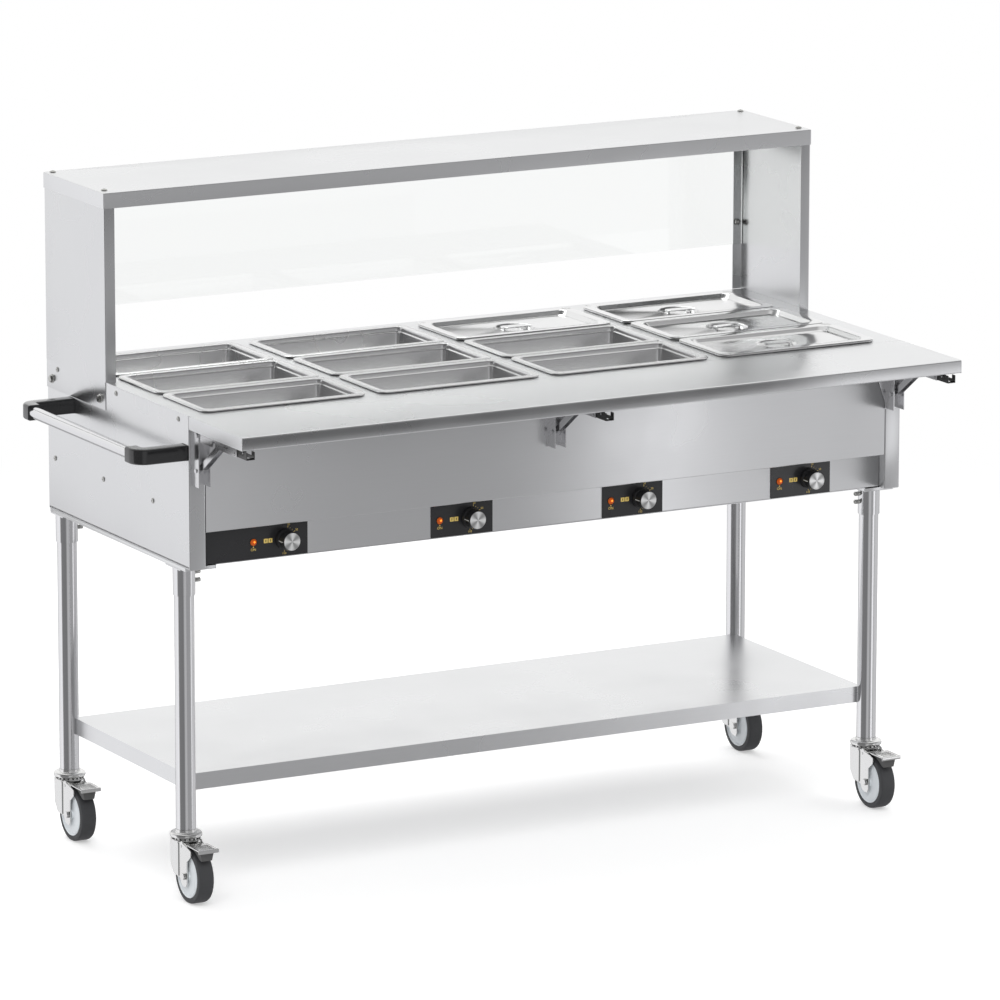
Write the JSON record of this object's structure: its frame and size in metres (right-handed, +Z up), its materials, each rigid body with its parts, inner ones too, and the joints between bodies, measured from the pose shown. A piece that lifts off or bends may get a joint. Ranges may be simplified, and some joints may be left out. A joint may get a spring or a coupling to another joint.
{
  "type": "steam table",
  "caption": "Mobile steam table: heated cabinet with lift-out pans and lids, overshelf with glass, folding front shelf, side handle, lower shelf and braked casters.",
  "frame": {"origin": "on the floor, under the middle of the object's box", "axes": "+X along the cabinet, from the push handle towards the far end; +Y from the operator's side with the knobs towards the glass; +Z up"},
  "size_m": [1.5549, 0.848, 1.2295],
  "materials": {
    "brushed_stainless": "fine brushed grain",
    "satin_stainless": "satin",
    "pan_steel": "satin pressed steel",
    "polished_tube": "polished",
    "bright_zinc": "bright zinc plating",
    "bracket_steel": "pressed steel",
    "dark_sheath": "oxidised sheath",
    "black_plastic": "moulded",
    "handle_plastic": "gloss moulded",
    "knob_black": "moulded with a spun metal cap",
    "dial_black": "gloss plate with printed scale",
    "amber_lens": "translucent lens",
    "clear_glass": "polished flat glass",
    "wheel_rubber": "rubber tyre on a pale nylon hub"
  },
  "bodies": {
    "cabinet": {"cabinet_sides": "brushed_stainless", "front_panel": "brushed_stainless", "rear_panel": "brushed_stainless", "bottom_panel": "brushed_stainless", "top_deck": "brushed_stainless", "water_wells": "satin_stainless", "heating_elements": "dark_sheath", "thermostats": "black_plastic", "indicator_lamps": "amber_lens", "control_plates": "dial_black", "drain_manifold": "satin_stainless", "cable_gland": "black_plastic", "overshelf_sides": "brushed_stainless", "overshelf_top": "brushed_stainless", "glass_screen": "clear_glass", "panel_fasteners": "bright_zinc", "handle_elbows": "handle_plastic", "handle_tube": "polished_tube", "leg_sleeves": "polished_tube", "legs": "polished_tube", "lower_shelf": "brushed_stainless", "caster_stems": "bright_zinc", "bracket_channels": "bracket_steel"},
    "front_shelf": {"front_shelf": "brushed_stainless", "shelf_arms": "bracket_steel"},
    "shelf_struts": {"shelf_struts": "bracket_steel"},
    "release_levers": {"release_levers": "bracket_steel"},
    "drain_lever": {"drain_lever": "handle_plastic"},
    "knob_1": {"knob_1": "knob_black"},
    "knob_2": {"knob_2": "knob_black"},
    "knob_3": {"knob_3": "knob_black"},
    "knob_4": {"knob_4": "knob_black"},
    "caster_fork_front_left": {"caster_fork_front_left": "bright_zinc"},
    "caster_wheel_front_left": {"caster_wheel_front_left": "wheel_rubber"},
    "brake_pedal_front_left": {"brake_pedal_front_left": "bright_zinc"},
    "caster_fork_front_right": {"caster_fork_front_right": "bright_zinc"},
    "caster_wheel_front_right": {"caster_wheel_front_right": "wheel_rubber"},
    "brake_pedal_front_right": {"brake_pedal_front_right": "bright_zinc"},
    "caster_fork_rear_left": {"caster_fork_rear_left": "bright_zinc"},
    "caster_wheel_rear_left": {"caster_wheel_rear_left": "wheel_rubber"},
    "brake_pedal_rear_left": {"brake_pedal_rear_left": "bright_zinc"},
    "caster_fork_rear_right": {"caster_fork_rear_right": "bright_zinc"},
    "caster_wheel_rear_right": {"caster_wheel_rear_right": "wheel_rubber"},
    "brake_pedal_rear_right": {"brake_pedal_rear_right": "bright_zinc"},
    "pan_1_front": {"pan_1_front": "pan_steel"},
    "pan_1_middle": {"pan_1_middle": "pan_steel"},
    "pan_1_rear": {"pan_1_rear": "pan_steel"},
    "pan_2_front": {"pan_2_front": "pan_steel"},
    "pan_2_middle": {"pan_2_middle": "pan_steel"},
    "pan_2_rear": {"pan_2_rear": "pan_steel"},
    "pan_3_front": {"pan_3_front": "pan_steel"},
    "pan_3_middle": {"pan_3_middle": "pan_steel"},
    "pan_3_rear": {"pan_3_rear": "pan_steel"},
    "lid_3_rear": {"lid_3_rear": "pan_steel"},
    "pan_4_front": {"pan_4_front": "pan_steel"},
    "lid_4_front": {"lid_4_front": "pan_steel"},
    "pan_4_middle": {"pan_4_middle": "pan_steel"},
    "lid_4_middle": {"lid_4_middle": "pan_steel"},
    "pan_4_rear": {"pan_4_rear": "pan_steel"},
    "lid_4_rear": {"lid_4_rear": "pan_steel"}
  },
  "joints": [
    {"name": "shelf_fold", "type": "hinge", "parent": "cabinet", "child": "front_shelf", "pos_m": [0.0479, -0.233, 0.8535], "axis": [1, 0, 0], "range_deg": [0, 90]},
    {"name": "strut_fold", "type": "hinge", "parent": "cabinet", "child": "shelf_struts", "pos_m": [0.0479, -0.23, 0.79], "axis": [1, 0, 0], "range_deg": [0, 127]},
    {"name": "lever_release", "type": "hinge", "parent": "front_shelf", "child": "release_levers", "pos_m": [0.0479, -0.375, 0.847], "axis": [-1, 0, 0], "range_deg": [0, 4], "stiffness_Nm_per_rad": 0.8, "springref_deg": -8.59},
    {"name": "drain_turn", "type": "hinge", "parent": "cabinet", "child": "drain_lever", "pos_m": [0.3479, 0.384, 0.669], "axis": [0, 0, 1], "range_deg": [0, 90]},
    {"name": "knob_1_turn", "type": "hinge", "parent": "cabinet", "child": "knob_1", "pos_m": [-0.4801, -0.206, 0.643], "axis": [0, 1, 0], "range_deg": [0, 270]},
    {"name": "knob_2_turn", "type": "hinge", "parent": "cabinet", "child": "knob_2", "pos_m": [-0.1106, -0.206, 0.643], "axis": [0, 1, 0], "range_deg": [0, 270]},
    {"name": "knob_3_turn", "type": "hinge", "parent": "cabinet", "child": "knob_3", "pos_m": [0.2374, -0.206, 0.643], "axis": [0, 1, 0], "range_deg": [0, 270]},
    {"name": "knob_4_turn", "type": "hinge", "parent": "cabinet", "child": "knob_4", "pos_m": [0.5889, -0.206, 0.643], "axis": [0, 1, 0], "range_deg": [0, 270]},
    {"name": "swivel_front_left", "type": "hinge", "parent": "cabinet", "child": "caster_fork_front_left", "pos_m": [-0.6526, -0.1455, 0.1143], "axis": [0, 0, 1], "continuous": true},
    {"name": "roll_front_left", "type": "hinge", "parent": "caster_fork_front_left", "child": "caster_wheel_front_left", "pos_m": [-0.6526, -0.1785, 0.05], "axis": [1, 0, 0], "continuous": true},
    {"name": "brake_front_left", "type": "hinge", "parent": "caster_fork_front_left", "child": "brake_pedal_front_left", "pos_m": [-0.6526, -0.1625, 0.1042], "axis": [1, 0, 0], "range_deg": [0, 5]},
    {"name": "swivel_front_right", "type": "hinge", "parent": "cabinet", "child": "caster_fork_front_right", "pos_m": [0.7484, -0.1455, 0.1143], "axis": [0, 0, 1], "continuous": true},
    {"name": "roll_front_right", "type": "hinge", "parent": "caster_fork_front_right", "child": "caster_wheel_front_right", "pos_m": [0.7484, -0.1785, 0.05], "axis": [1, 0, 0], "continuous": true},
    {"name": "brake_front_right", "type": "hinge", "parent": "caster_fork_front_right", "child": "brake_pedal_front_right", "pos_m": [0.7484, -0.1625, 0.1042], "axis": [1, 0, 0], "range_deg": [0, 5]},
    {"name": "swivel_rear_left", "type": "hinge", "parent": "cabinet", "child": "caster_fork_rear_left", "pos_m": [-0.6526, 0.3375, 0.1143], "axis": [0, 0, 1], "continuous": true},
    {"name": "roll_rear_left", "type": "hinge", "parent": "caster_fork_rear_left", "child": "caster_wheel_rear_left", "pos_m": [-0.6526, 0.3045, 0.05], "axis": [1, 0, 0], "continuous": true},
    {"name": "brake_rear_left", "type": "hinge", "parent": "caster_fork_rear_left", "child": "brake_pedal_rear_left", "pos_m": [-0.6526, 0.3205, 0.1042], "axis": [1, 0, 0], "range_deg": [0, 5]},
    {"name": "swivel_rear_right", "type": "hinge", "parent": "cabinet", "child": "caster_fork_rear_right", "pos_m": [0.7484, 0.3375, 0.1143], "axis": [0, 0, 1], "continuous": true},
    {"name": "roll_rear_right", "type": "hinge", "parent": "caster_fork_rear_right", "child": "caster_wheel_rear_right", "pos_m": [0.7484, 0.3045, 0.05], "axis": [1, 0, 0], "continuous": true},
    {"name": "brake_rear_right", "type": "hinge", "parent": "caster_fork_rear_right", "child": "brake_pedal_rear_right", "pos_m": [0.7484, 0.3205, 0.1042], "axis": [1, 0, 0], "range_deg": [0, 5]},
    {"name": "pan_1_front_lift", "type": "slide", "parent": "cabinet", "child": "pan_1_front", "axis": [0, 0, 1], "range_m": [0, 0.15]},
    {"name": "pan_1_middle_lift", "type": "slide", "parent": "cabinet", "child": "pan_1_middle", "axis": [0, 0, 1], "range_m": [0, 0.15]},
    {"name": "pan_1_rear_lift", "type": "slide", "parent": "cabinet", "child": "pan_1_rear", "axis": [0, 0, 1], "range_m": [0, 0.15]},
    {"name": "pan_2_front_lift", "type": "slide", "parent": "cabinet", "child": "pan_2_front", "axis": [0, 0, 1], "range_m": [0, 0.15]},
    {"name": "pan_2_middle_lift", "type": "slide", "parent": "cabinet", "child": "pan_2_middle", "axis": [0, 0, 1], "range_m": [0, 0.15]},
    {"name": "pan_2_rear_lift", "type": "slide", "parent": "cabinet", "child": "pan_2_rear", "axis": [0, 0, 1], "range_m": [0, 0.15]},
    {"name": "pan_3_front_lift", "type": "slide", "parent": "cabinet", "child": "pan_3_front", "axis": [0, 0, 1], "range_m": [0, 0.15]},
    {"name": "pan_3_middle_lift", "type": "slide", "parent": "cabinet", "child": "pan_3_middle", "axis": [0, 0, 1], "range_m": [0, 0.15]},
    {"name": "pan_3_rear_lift", "type": "slide", "parent": "cabinet", "child": "pan_3_rear", "axis": [0, 0, 1], "range_m": [0, 0.15]},
    {"name": "lid_3_rear_lift", "type": "slide", "parent": "pan_3_rear", "child": "lid_3_rear", "axis": [0, 0, 1], "range_m": [0, 0.12]},
    {"name": "pan_4_front_lift", "type": "slide", "parent": "cabinet", "child": "pan_4_front", "axis": [0, 0, 1], "range_m": [0, 0.15]},
    {"name": "lid_4_front_lift", "type": "slide", "parent": "pan_4_front", "child": "lid_4_front", "axis": [0, 0, 1], "range_m": [0, 0.12]},
    {"name": "pan_4_middle_lift", "type": "slide", "parent": "cabinet", "child": "pan_4_middle", "axis": [0, 0, 1], "range_m": [0, 0.15]},
    {"name": "lid_4_middle_lift", "type": "slide", "parent": "pan_4_middle", "child": "lid_4_middle", "axis": [0, 0, 1], "range_m": [0, 0.12]},
    {"name": "pan_4_rear_lift", "type": "slide", "parent": "cabinet", "child": "pan_4_rear", "axis": [0, 0, 1], "range_m": [0, 0.15]},
    {"name": "lid_4_rear_lift", "type": "slide", "parent": "pan_4_rear", "child": "lid_4_rear", "axis": [0, 0, 1], "range_m": [0, 0.12]}
  ],
  "couplings": [
    {"joint": "strut_fold", "follows": "shelf_fold", "ratio": 1.3967}
  ]
}
